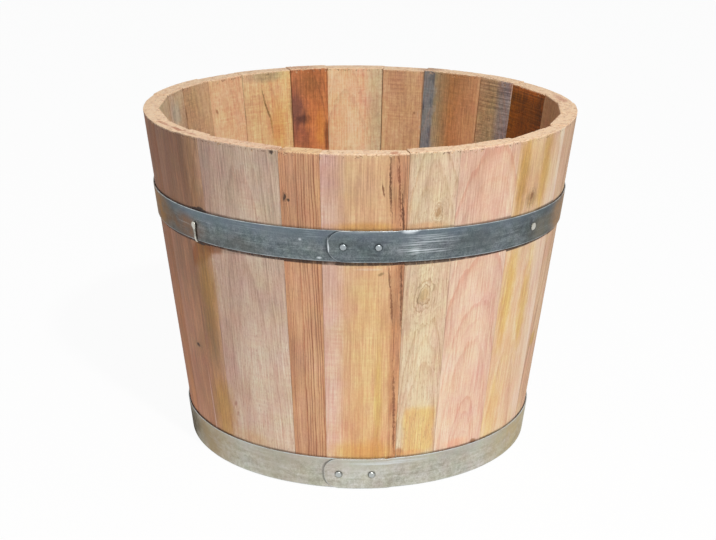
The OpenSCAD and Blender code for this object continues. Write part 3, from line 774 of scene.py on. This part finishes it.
    # Painted shade lies along the hoops' edges, most where the hoop stands off the wood at the sides.
    for low, width, _ in (UPPER_HOOP, LOWER_HOOP):
        off_hoop = put("Math.SUBTRACT", [high, low + width / 2 + hoop_drift(middle, low)])
        off_hoop = put("Math.ABSOLUTE", [off_hoop])
        most = 0.35 + 0.5 * abs(math.sin(middle))
        hoop_edge_shade = put("Smooth", [off_hoop, width / 2 + 0.6, width / 2 + 2.8, most, 0.0])
        hoop_edge_shade = put("Math.MULTIPLY", [hoop_edge_shade, put("Smooth", [cloud, 0.3, 0.6, 0.5, 1.0])])
        planed = put("Tint", [hoop_edge_shade, planed, "#2c1c14"])
    # The strip is straight and the tub tapers, so its lower edge stands off the wood: a painted shadow lies
    # under it.
    gap = 5.2 if abs(math.sin(middle)) < 0.4 else 3.8
    under = UPPER_HOOP[0] + hoop_drift(middle, UPPER_HOOP[0])
    shadow_below_hoop = put("Smooth", [high, under - gap, under - gap * 0.75, 0.0, 0.9])
    shadow_below_hoop = put("Math.MULTIPLY", [shadow_below_hoop, put("Smooth", [high, under + 8, under + 9, 1.0, 0.0])])
    shadow_below_hoop = put("Math.MULTIPLY", [shadow_below_hoop, put("Smooth", [loose, -0.25, 0.05, 0.55, 1.0])])
    planed = put("Tint", [shadow_below_hoop, planed, "#32190f"])

    # The flat side: the same rings, fainter, with the saw's marks across them.
    saw = look["saw"]
    saw_lines = put("Noise", [put("Vector.MULTIPLY", [other, (0.012, 0.0, 0.42)]), 1.0, 3.0, 0.65])
    sawn = put("Ramp", [across], stops=look["inn"])
    sawn = put("Tint", [put("Math.MULTIPLY", [late, late_amount * 0.6]), sawn, late_tone])
    sawn = marked(sawn, INNER_MARKS)
    # The saw's marks are tinted dark and light: dirt in the kerfs, and painted shade of their relief.
    saw_dirt_and_shade = put("Smooth", [saw_lines, 0.35, 0.65, 0.5 - 0.36 * saw, 0.5 + 0.16 * saw])
    sawn = put("Tint.OVERLAY", [put("Smooth", [grainy(26, 40, 3), 0.38, 0.62, 0.15, 1.0]), sawn, saw_dirt_and_shade])
    mould = put("Noise", [other, 0.2, 4.0, 0.75])
    sawn = put("Tint.OVERLAY", [0.3 + saw, sawn, put("Smooth", [mould, 0.3, 0.7, 0.36, 0.63])])
    is_inside = put("Range", [deep, thick - 1.6, thick - 0.8])
    wood = put("Tint", [is_inside, planed, sawn])

    # Fibres, flecks, clouds and small shifts of hue go over both sides.
    for strength, pattern, low, high_end, dark, light in (
            (0.9, fibre, 0.28, 0.72, 0.36, 0.63), (0.9, cloud, 0.3, 0.7, 0.41, 0.59),
            (0.5, grit, 0.3, 0.7, 0.44, 0.56)):
        shade = put("Smooth", [pattern, low, high_end, dark, light])
        wood = put("Tint.OVERLAY", [strength, wood, shade])
    wood = put("Tint.OVERLAY", [0.10, wood, put("Noise", [other, 0.045, 2.0], out=1)])
    flecks = put("Math.MULTIPLY", [flecks, look["pores"]])
    wood = put("Tint", [flecks, wood, late_tone])

    # Dust and shadow settle in the joints, more on the flat side, where the boards meet less well.
    out_from_axis = put("Math.SUBTRACT", [FOOT_R, behind])
    bearing = put("Math.ABSOLUTE", [put("Math.ARCTAN2", [right_of, out_from_axis])])
    to_edge = put("Math.SUBTRACT", [half_turn, bearing])
    to_edge = put("Math.MULTIPLY", [to_edge, out_from_axis])
    thickest = put("Mix", [is_inside, 0.16, 0.5])
    thickest = put("Math.MULTIPLY", [thickest, put("Smooth", [loose, -0.15, 0.15])])
    dust = put("Math.MULTIPLY", [put("Smooth", [to_edge, 0.1, 1.1, 1.0, 0.0]), thickest])
    wood = put("Tint", [dust, wood, "#5c3d2a"])

    # The rim is end grain, paler than the faces, with the rings as faint arcs, and torn where the
    # saw left it: the tree that shapes the stave stores how much broke away.
    upwards = put("Split", [put("ShaderNodeNewGeometry", out=1)], out=2)
    end_grain = put("Smooth", [upwards, 0.35, 0.75])
    pores = put("Noise", [other, 0.8, 3.0, 0.7])
    rim_tone = put("Math.MULTIPLY_ADD", [late, 0.5, put("Smooth", [pores, 0.35, 0.75, 0.0, 0.9])])
    rim = marked(put("Tint", [rim_tone, *look["rim"]]), RIM_MARKS, deep)
    rim = put("Tint.OVERLAY", [1.0, rim, put("Smooth", [pores, 0.3, 0.7, 0.27, 0.70])])
    bruise = put("Noise", [other, 0.15, 4.0, 0.7])
    rim = put("Tint", [put("Smooth", [bruise, 0.50, 0.62, 0.0, 0.42]), rim, "#b8795c"])
    # A pale band at the top of the faces: torn fibres, and a painted highlight along the rim's arris.
    fuzz_and_highlight = put("Smooth", [high, top - 2.6, top - 0.4, 0.0, 0.85])
    fuzz_and_highlight = put("Math.MULTIPLY", [fuzz_and_highlight, put("Smooth", [grit, 0.35, 0.6])])
    wood = put("Tint", [fuzz_and_highlight, wood, look["rim"][0]])
    nick = put("Smooth", [high, top - 2.2, top - 1.4, 1.0, 0.0])
    nick = put("Math.MULTIPLY", [nick, put("Smooth", [high, top - 5.5, top - 2.6])])
    nick = put("Math.MULTIPLY", [nick, put("Smooth", [grit, 0.55, 0.63, 0.0, 0.8])])
    wood = put("Tint", [nick, wood, "#5e3c2a"])
    wood = put("Tint", [end_grain, wood, rim])
    torn = put("Smooth", [put("Stored", attribute_name="broken_away"), 0.15, 0.5, 0.0, 0.8])
    torn_tone = put("Tint", [put("Smooth", [pores, 0.4, 0.6]), "#8a5636", "#e8c49c"])
    wood = put("Tint", [torn, wood, torn_tone])

    # Late wood stands up from the planed face, and the saw leaves steps of a few tenths.
    relief = put("Math.MULTIPLY_ADD", [late, 0.25, fibre])
    steps = put("Math.MULTIPLY", [put("Math.MULTIPLY", [saw_lines, 2.0 * saw]), is_inside])
    relief = put("Math.ADD", [relief, steps])
    relief = put("Math.MULTIPLY_ADD", [pores, end_grain, relief])
    relief = put("Math.MULTIPLY_ADD", [flecks, -0.5, relief])
    roughness = put("Mix", [is_inside, put("Smooth", [fibre, 0.3, 0.7, 0.62, 0.78]), 0.88])
    end_material(put, wood, roughness, [0.8, 0.0007, relief], {"IOR": 1.5})
    return material


def board_wood(name, early, late, seed):
    """Sawn fir of the head: dull, with straight rings along the boards."""
    material, put = blank_material(name)
    board = in_mm(put, (seed * 41.0, seed * 17.0, 0.0))
    wander = put("Noise", [put("Vector.MULTIPLY", [board, (0.006, 0.05, 0.05)]), 1.0, 1.5], out=1)
    x, y, z = put("Split", [put("Vector.ADD", [board, put("Scale", [wander, 12.0])])]).node.outputs
    shell = put("Join", [0.0, put("Math.PINGPONG", [y, 60.0]), put("Math.ADD", [z, 38.0])])
    within = put("Math.FRACT", [put("Math.MULTIPLY", [put("Length", [shell]), 0.2])])
    ring = put("Ramp", [within], stops=[(0, 0.0), (0.5, 0.15), (0.88, 1.0), (1.0, 0.0)])
    fibre = put("Noise", [put("Vector.MULTIPLY", [board, (0.022, 0.75, 0.75)]), 1.0, 3.0, 0.6])
    wood = put("Tint", [put("Math.MULTIPLY", [ring, 0.5]), early, late])
    wood = put("Tint.OVERLAY", [0.9, wood, put("Range", [fibre, 0.25, 0.75, 0.38, 0.62])])
    relief = put("Math.MULTIPLY_ADD", [ring, 0.3, fibre])
    end_material(put, wood, 0.82, [0.6, 0.0005, relief], {"IOR": 1.5})
    return material


def near_spot(put, place, angle, z, half_wide, half_high, full, none, most):
    """How near a spot on a hoop is: most within full of its size, nothing beyond none of it."""
    centre = on_wall(angle, z + hoop_drift(angle, z), out=OUTER_LAYER + HOOP_T) / MM
    scale = Vector((1 / half_wide, 1 / half_wide, 1 / half_high))
    near = put("Vector.MULTIPLY_ADD", [place, scale, -centre * scale])
    return put("Smooth", [put("Length", [near]), full, none, most, 0.0])


def galvanised(name, tones, mottle_mm, roughness, hoop, upper_tone, lap_dirt_and_shade, rubbed_and_glints, painted_reflections_and_shade):
    """Hot-dip galvanised strip steel: a zinc skin a few hundredths thick that froze in flat crystals,
    now dulled to a soft mottle, dragged by fine scratches, its cut edges painted bright as a highlight."""
    low, width, _ = hoop
    material, put = blank_material(name)
    place = in_mm(put)
    crystal = put("ShaderNodeTexVoronoi", {
        "Vector": place, "Scale": 1 / mottle_mm, "Randomness": 1.0}, out=1)
    mottle = put("Noise", [place, 1.4 / mottle_mm, 4.0, 0.6])
    patch = put("Noise", [place, 0.016, 3.0])
    streak = put("Noise", [put("Vector.MULTIPLY", [place, (0.03, 0.03, 0.25)]), 1.0, 4.0, 0.6])
    speck = put("Noise", [place, 0.7, 3.0, 0.7])
    tone = -1.36
    for pattern, share in ((mottle, 1.1), (put("Split", [crystal]), 0.12), (streak, 0.9), (patch, 0.7),
                           (speck, 0.9)):
        tone = put("Math.MULTIPLY_ADD", [pattern, share, tone])
    zinc = put("Ramp", [tone], stops=list(zip((0.15, 0.5, 0.85), tones)))
    # Painted sky reflection along the strip's upper part.
    up = put("Math.MULTIPLY_ADD", [patch, 18.0, put("Split", [place], out=2)])
    sky = put("Smooth", [up, low + width * 0.5 + 9, low + width + 9, 0.0, 0.65])
    zinc = put("Tint", [sky, zinc, upper_tone])
    zinc = put("Tint.OVERLAY", [0.09, zinc, put("Noise", [place, 0.06, 3.0], out=1)])
    dull = put("Math.MULTIPLY_ADD", [mottle, 0.30, roughness - 0.15])

    # Painted reflections and shade in patches, dirt and painted shade round each rivet, and a painted shadow
    # under the end of the strip.
    cloud = put("Noise", [place, 0.05, 4.0, 0.65])
    for degrees, z, half_wide, half_high, painted_tone, strength in painted_reflections_and_shade:
        amount = near_spot(put, place, math.radians(degrees), z, half_wide, half_high, 0.3, 1.0, strength)
        amount = put("Math.MULTIPLY", [amount, put("Range", [cloud, 0.36, 0.58, 0.5, 1.0])])
        zinc = put("Tint", [amount, zinc, painted_tone])
    # A dark ring round each rivet: dirt, and painted shade where the head meets the strip.
    for angle in rivet_angles(hoop):
        ring = near_spot(put, place, angle, low + width / 2, 1.0, 1.0, 3.9, 5.8, 0.8 * lap_dirt_and_shade)
        zinc = put("Tint", [ring, zinc, "#30393e"])
    # Painted shadow on the lower layer along the rounded end of the strip.
    lap_shadow = put("Smooth", [put("Stored", attribute_name="mm_from_the_lap"), 0.3, 2.2, lap_dirt_and_shade, 0.0])
    zinc = put("Tint", [lap_shadow, zinc, "#2c3337"])

    # Scratches run along the strip. They are drawn half a millimetre wide so that they show.
    drawn = put("Noise", [put("Vector.MULTIPLY", [place, (0.016, 0.016, 0.9)]), 1.0, 4.0, 0.7])
    scratches_and_glints = put("Smooth", [drawn, 0.60, 0.70, 0.0, 0.25])
    # Rubbed spots add brighter scratches, and painted glints where the strip catches the light.
    for degrees, z, half_wide, half_high, start, strength in rubbed_and_glints:
        near = near_spot(put, place, math.radians(degrees), z, half_wide, half_high, 0.3, 1.0, 1.0)
        bright = put("Smooth", [drawn, start, start + 0.12, 0.0, strength])
        scratches_and_glints = put("Math.MULTIPLY_ADD", [bright, near, scratches_and_glints])
    zinc = put("Tint", [scratches_and_glints, zinc, "#e6edf2"])
    # Painted highlight along the strip's cut edges and its rounded end.
    painted_edge_highlight = put("Smooth", [put("Stored", attribute_name="mm_from_the_edge"), 0.3, 1.1, 1.0, 0.0])
    painted_edge_highlight = put("Math.MULTIPLY", [painted_edge_highlight, put("Range", [cloud, 0.35, 0.6, 0.2, 0.9])])
    zinc = put("Tint", [painted_edge_highlight, zinc, "#ccd4d8"])
    relief = put("Math.MULTIPLY_ADD", [drawn, 0.6, put("Noise", [place, 1.3, 2.0])])
    relief = put("Math.MULTIPLY_ADD", [mottle, 1.5, relief])
    # The dull skin reflects little at a slant, where clean metal would turn white.
    end_material(put, zinc, dull, [0.3, 0.0005, relief],
                 {"Metallic": 1.0, "Specular Tint": (0.5, 0.45, 0.4, 1.0)})
    return material


def plated_steel(name, bright, dark):
    """Zinc-plated wire nails and rivets, hammered: painted bright on the crown as a highlight, and painted
    dark round the foot as shade.
    """
    material, put = blank_material(name)
    dents = put("Noise", [in_mm(put), 0.55, 3.0, 0.6])
    crown = put("Math.MULTIPLY_ADD", [dents, 0.5, put("Stored", attribute_name="up_the_head")])
    # Painted light and shade: the bright tone on the crown, the dark one round the foot.
    steel = put("Tint", [put("Smooth", [crown, 0.45, 0.95]), dark, bright])
    roughness = put("Range", [dents, 0.3, 0.7, 0.22, 0.40])
    end_material(put, steel, roughness, [0.5, 0.0006, dents], {"Metallic": 1.0})
    return material


# ---------------------------------------------------------------- the pieces

def ride_root(piece, slot, *nodes):
    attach(piece, "root")
    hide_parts(*nodes)


def make_staves():
    tree = stave_tree()
    for number, stave_width in enumerate(STAVE_WIDTHS, 1):
        top = TUB_H - rim_drop(number)
        piece = grown(f"coopered_stave_{number:02d}", tree, {
            "Left edge": stave_edge(number - 1), "Right edge": stave_edge(number),
            "Thickness": level(stave_thickness(number - 1)) * MM,
            "Foot radius": FOOT_R * MM, "Rim radius": wall_r(top) * MM, "Height": top * MM,
            "Groove middle": HEAD_MID * MM, "Groove half width": (HEAD_EDGE_T / 2 + GROOVE_PLAY) * MM,
            "Groove radius": CROZE_R * MM, "Groove slope": CROZE_SLOPE, "Hairline": HAIRLINE * MM,
            "Outer arris": 0.07 * MM, "Inner arris": 0.6 * MM, "Rim arris": 0.4 * MM,
            "Chip depth": 3.2 * MM, "Unevenness": 0.35 * MM, "Seed": number * 0.731,
            "Number of columns": STAVE_COLUMNS + round(stave_width * COLUMNS_PER_WIDTH),
        }, stave_wood(number))
        ride_root(piece, "stave_wood", f"stave_{number:02d}")


def softened(name, node, width, material):
    """A copy of a CAD solid with its edges taken off, as a plain mesh."""
    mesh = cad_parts[node].data.copy()
    shape = bmesh.new()
    shape.from_mesh(mesh)
    bmesh.ops.remove_doubles(shape, verts=shape.verts, dist=1e-6)
    bmesh.ops.dissolve_limit(shape, angle_limit=math.radians(0.6), verts=shape.verts, edges=shape.edges)
    shape.to_mesh(mesh)
    shape.free()
    mesh.materials.clear()
    mesh.materials.append(material)
    piece = in_scene(name, mesh)
    bevel = piece.modifiers.new("arris", "BEVEL")
    bevel.width = width * MM
    bevel.segments = 2
    bevel.limit_method = "ANGLE"
    bevel.angle_limit = math.radians(35)
    return plain(piece, name)


def make_head():
    tones = [("#c9a078", "#a0724a"), ("#ac8058", "#885c3a"), ("#caa884", "#a98058"),
             ("#b48a62", "#90623c"), ("#c49c74", "#9f724a")]
    for number, (early, late) in enumerate(tones, 1):
        piece = softened(f"head_board_{number}_sawn", f"head_board_{number}", 0.5,
                         board_wood(f"head_board_{number}_fir", early, late, number))
        ride_root(piece, "head_wood", f"head_board_{number}")
    beech = board_wood("turned_beech", "#d9bd92", "#c4a274", 7)
    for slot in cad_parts["head_dowels"].material_slots:
        slot.material = beech


def rivet_angles(hoop):
    low, width, shift = hoop
    return [arc(shift + side * RIVET_PITCH / 2, low + width / 2) for side in (-1, 1)]


def make_hoops():
    """The upper strip is a grey painted bluish along its top as a sky reflection, greener below; the lower
    one is paler, matt.
    """
    tree = hoop_tree()
    # Rubbed spots and painted glints: degrees, height, half width, half height, where the scratches start,
    # strength.
    # Painted reflections and shade: degrees, height, half width, half height, tone, strength.
    upper_steel = galvanised(
        "upper_hoop_galvanised", ("#565d60", "#6d7679", "#8a9295"), 8.0, 0.42, UPPER_HOOP, "#6e7b85",
        lap_dirt_and_shade=0.60,
        rubbed_and_glints=[(17.5, 292, 42, 18, 0.50, 0.55), (12.8, 308.5, 12, 4.0, 0.38, 1.0),
                (14.0, 285, 8, 5, 0.46, 0.7), (-14.6, 297, 2.8, 2.4, 0.20, 0.7),
                (-7.5, 290, 1.8, 13, 0.10, 0.9), (-9.8, 278, 4, 2, 0.30, 0.7),
                (-12, 300, 16, 12, 0.55, 0.4), (3, 309, 40, 3, 0.45, 0.4)],
        painted_reflections_and_shade=[(-78, 291, 95, 40, "#a87c4e", 0.95), (-52, 287, 46, 20, "#8c6a50", 0.75),
                 (-35, 280, 60, 17, "#5c5750", 0.50), (74, 291, 60, 40, "#bc9874", 0.9),
                 (58, 286, 40, 20, "#8a8474", 0.6), (32, 290, 40, 18, "#5c6466", 0.45)])
    lower_steel = galvanised(
        "lower_hoop_matt_zinc", ("#a39e90", "#bebbae", "#d4d2ca"), 6.0, 0.56, LOWER_HOOP, "#bfbcb0",
        lap_dirt_and_shade=0.42,
        rubbed_and_glints=[(10, 34, 60, 3, 0.40, 0.5)],
        painted_reflections_and_shade=[(-56, 20, 70, 40, "#ab9674", 0.70), (-79, 20, 75, 60, "#3c3428", 0.95),
                 (-25, 20, 50, 40, "#a39880", 0.4), (62, 20, 80, 40, "#c6b07e", 0.6)])
    for name, node, slot, hoop, skew, steel, seed in (
            ("upper_hoop_strip", "upper_hoop", "upper_hoop_steel", UPPER_HOOP, MM, upper_steel, 0.3),
            ("lower_hoop_strip", "lower_hoop", "lower_hoop_steel", LOWER_HOOP, 0.0, lower_steel, 1.7)):
        low, width, shift = hoop
        mid = low + width / 2
        turn = 2 * math.pi * wall_r(mid)
        piece = grown(name, tree, {
            "Lap start": arc(shift - LAP_LEN / 2, mid), "Lap length": LAP_LEN * MM,
            "Step length": STEP_LEN * MM, "Lap corner": LAP_CORNER * MM,
            "Lower edge": low * MM, "Width": width * MM, "Strip thickness": HOOP_T * MM,
            "Inner layer": INNER_LAYER * MM, "Outer layer": OUTER_LAYER * MM,
            "Foot radius": FOOT_R * MM, "Rise": RISE, "Edge rounding": 0.4 * MM,
            "Off": HOOP_OFF * skew, "Lean": HOOP_LEAN * skew, "Bend": HOOP_BEND * skew,
            "Ripple": 0.5 * MM, "Strip length": (turn + LAP_LEN - HOOP_T) * MM, "Seed": seed,
        }, steel)
        ride_root(piece, slot, node)


def on_hoop(hoop, angle, out):
    """A fixing's seat on a hoop's middle line, and the direction square to the wall there."""
    low, width, _ = hoop
    return on_wall(angle, low + width / 2 + hoop_drift(angle, low), out=out), square_out(angle)


def make_rivets(tree, steel):
    for name, hoop, node in (("upper_hoop_rivet_heads", UPPER_HOOP, "upper_hoop_rivets"),
                             ("lower_hoop_rivet_heads", LOWER_HOOP, "lower_hoop_rivets")):
        places = [on_hoop(hoop, angle, OUTER_LAYER + HOOP_T + HEAD_SEAT) for angle in rivet_angles(hoop)]
        piece = grown(name, tree, {
            "Head width": 8.0 * MM, "Head height": 2.8 * MM, "Shank width": 4.0 * MM,
            "Shank length": 3.4 * MM, "Dimple": 0.25 * MM, "Dents": 0.5 * MM, "Seed": hoop[0],
        }, steel[node], marked_points(name + "_places", places))
        ride_root(piece, "fixing_steel", node)


def make_nails(tree, steel):
    places = [on_hoop(UPPER_HOOP, math.radians(a), INNER_LAYER + HOOP_T + HEAD_SEAT) for a in NAIL_ANGLES]
    nails = grown("upper_hoop_nail_heads", tree, {
        "Head width": 9.5 * MM, "Head height": 1.8 * MM, "Shank width": 3.0 * MM,
        "Shank length": 13.0 * MM, "Dimple": 0.7 * MM, "Dents": 0.6 * MM, "Seed": 3.1,
    }, steel, marked_points("nail_places", places))
    ride_root(nails, "fixing_steel", "upper_hoop_nails")
    ride_root(bent_nail(steel), "fixing_steel", "upper_hoop_nails")


def bent_nail(steel):
    """The nail at the left was driven under the strip's edge and hammered flat up against it."""
    low, width, _ = UPPER_HOOP
    angle = math.radians(BENT_NAIL_ANGLE)
    mid = low + width / 2 + hoop_drift(angle, low)
    # Up the wall, out of it, half width and half thickness of the nail along its length.
    run = [(-20.5, -5.0, 0.4, 0.4), (-20.0, -2.0, 1.1, 1.1), (-19.0, 1.0, 1.2, 1.1),
           (-16.5, 2.7, 1.3, 1.0), (-12.0, 3.0, 1.3, 0.9), (-8.0, 3.0, 1.3, 0.9),
           (-4.0, 3.1, 1.8, 1.0), (-1.5, 3.4, 2.6, 1.3), (1.0, 3.5, 3.0, 1.5),
           (3.0, 3.3, 2.6, 1.2), (4.2, 3.0, 1.6, 0.8), (4.5, 2.9, 0.2, 0.1)]
    around = 20
    shape = bmesh.new()
    rings = []
    for step, (up, out, half_wide, half_thick) in enumerate(run):
        before, after = run[max(step - 1, 0)], run[min(step + 1, len(run) - 1)]
        slope = math.atan2(after[1] - before[1], after[0] - before[0])
        ring = []
        for k in range(around):
            turn = 2 * math.pi * k / around
            side, lift = half_wide * math.cos(turn), half_thick * math.sin(turn)
            ring.append(shape.verts.new(on_wall(
                angle, mid, right=side, up=up - lift * math.sin(slope), out=out + lift * math.cos(slope))))
        rings.append(ring)
    for lower, upper in zip(rings, rings[1:]):
        for k in range(around):
            shape.faces.new((lower[k], lower[(k + 1) % around], upper[(k + 1) % around], upper[k]))
    shape.faces.new(rings[0][::-1])
    shape.faces.new(rings[-1])
    bmesh.ops.recalc_face_normals(shape, faces=shape.faces)
    bmesh.ops.subdivide_edges(shape, edges=shape.edges, cuts=1, use_grid_fill=True, smooth=0.6)
    for face in shape.faces:
        face.smooth = True
    mesh = bpy.data.meshes.new("bent_nail")
    shape.to_mesh(mesh)
    shape.free()
    # How far each point is into the painted highlight: the head and the hooked end bright, the shank between
    # them darker.
    bright = mesh.attributes.new("up_the_head", "FLOAT", "POINT")
    head_from, hook_from = (mid - 3.5) * MM, (mid - 12.5) * MM
    for mark, corner in zip(bright.data, mesh.vertices):
        mark.value = 0.5 if hook_from < corner.co.z < head_from else 0.95
    mesh.materials.append(steel)
    return in_scene("bent_nail", mesh)


# ---------------------------------------------------------------- floor, light and camera

def seen_directly(put):
    """1 where the camera looks at it, or at its mirror image, and 0 where it only gives light."""
    seen = put("ShaderNodeLightPath").node.outputs
    return put("Math.MAXIMUM", [put("Math.MAXIMUM", [seen[0], seen[3]]), seen[6]])


def make_floor():
    """Pale floor that still takes the tub's shadow: to the camera it is mostly painted white."""
    material, put = blank_material("pale_floor")
    paper = put("ShaderNodeBsdfDiffuse", ["#f2f2f2"])
    glow = put("ShaderNodeEmission", [(1, 1, 1, 1), 1.0])
    painted = 0.95
    share = put("Math.MULTIPLY", [seen_directly(put), painted])
    put("ShaderNodeOutputMaterial", {"Surface": put("ShaderNodeMixShader", [share, paper, glow])})
    reach = 30.0
    mesh = bpy.data.meshes.new("studio_floor")
    mesh.from_pydata([(-reach, -reach, 0), (reach, -reach, 0), (reach, reach, 0), (-reach, reach, 0)],
                     [], [(0, 1, 2, 3)])
    mesh.materials.append(material)
    floor = in_scene("studio_floor", mesh)


def light_the_studio():
    world = bpy.data.worlds.new("studio")
    SCENE.world = world
    world.use_nodes = True
    world.node_tree.nodes.clear()
    put = partial(add_node, world.node_tree)
    fill = put("ShaderNodeBackground", [(0.93, 0.97, 1.0, 1.0), 0.38])
    white = put("ShaderNodeBackground", [(1, 1, 1, 1), 1.0])
    sky = put("ShaderNodeMixShader", [seen_directly(put), fill, white])
    put("ShaderNodeOutputWorld", {"Surface": sky})

    lamp = bpy.data.lights.new("key", "AREA")
    lamp.shape = "DISK"
    lamp.size = 0.22
    lamp.energy = 76.0
    lamp.color = (1.0, 0.975, 0.94)
    key = in_scene("key", lamp)
    azimuth, elevation, distance = math.radians(22), math.radians(46), 3.2
    aim = Vector((0, 0, 0.22))
    key.location = aim + distance * Vector((
        math.sin(azimuth) * math.cos(elevation), -math.cos(azimuth) * math.cos(elevation),
        math.sin(elevation)))
    key.rotation_euler = (aim - key.location).to_track_quat("-Z", "Y").to_euler()


def place_camera():
    """The photograph's view, worked out from the rim, the hoops and the outline."""
    pitch, yaw, roll = math.radians(18.053), math.radians(-0.183), math.radians(0.478)
    ahead = Vector((math.sin(yaw) * math.cos(pitch), math.cos(yaw) * math.cos(pitch), -math.sin(pitch)))
    right = Vector((math.cos(yaw), -math.sin(yaw), 0.0))
    up = right.cross(ahead)
    tilted_right = right * math.cos(roll) + up * math.sin(roll)
    tilted_up = up * math.cos(roll) - right * math.sin(roll)
    lens = bpy.data.cameras.new("view")
    lens.sensor_fit = "HORIZONTAL"
    lens.sensor_width = SENSOR
    lens.lens = FOCAL_PX * SENSOR / FRAME_PX
    lens.clip_start = 0.05
    lens.clip_end = 100.0
    camera = in_scene("view", lens)
    turn = Matrix((tilted_right, tilted_up, -ahead)).transposed()
    eye = (0.0044, -1.6861, 0.7395)
    camera.matrix_world = Matrix.Translation(eye) @ turn.to_4x4()
    SCENE.camera = camera


def main():
    place_camera()
    light_the_studio()
    make_floor()
    make_staves()
    make_head()
    make_hoops()
    heads = fixing_tree()
    make_rivets(heads, {"upper_hoop_rivets": plated_steel("upper_rivets_zinc_plated", "#a4acb0", "#3c4448"),
                        "lower_hoop_rivets": plated_steel("lower_rivets_zinc_plated", "#b6bab8", "#4e4c46")})
    make_nails(heads, plated_steel("nails_zinc_plated", "#c4c2b8", "#4a4a44"))
    SCENE.view_settings.view_transform = "Standard"


main()
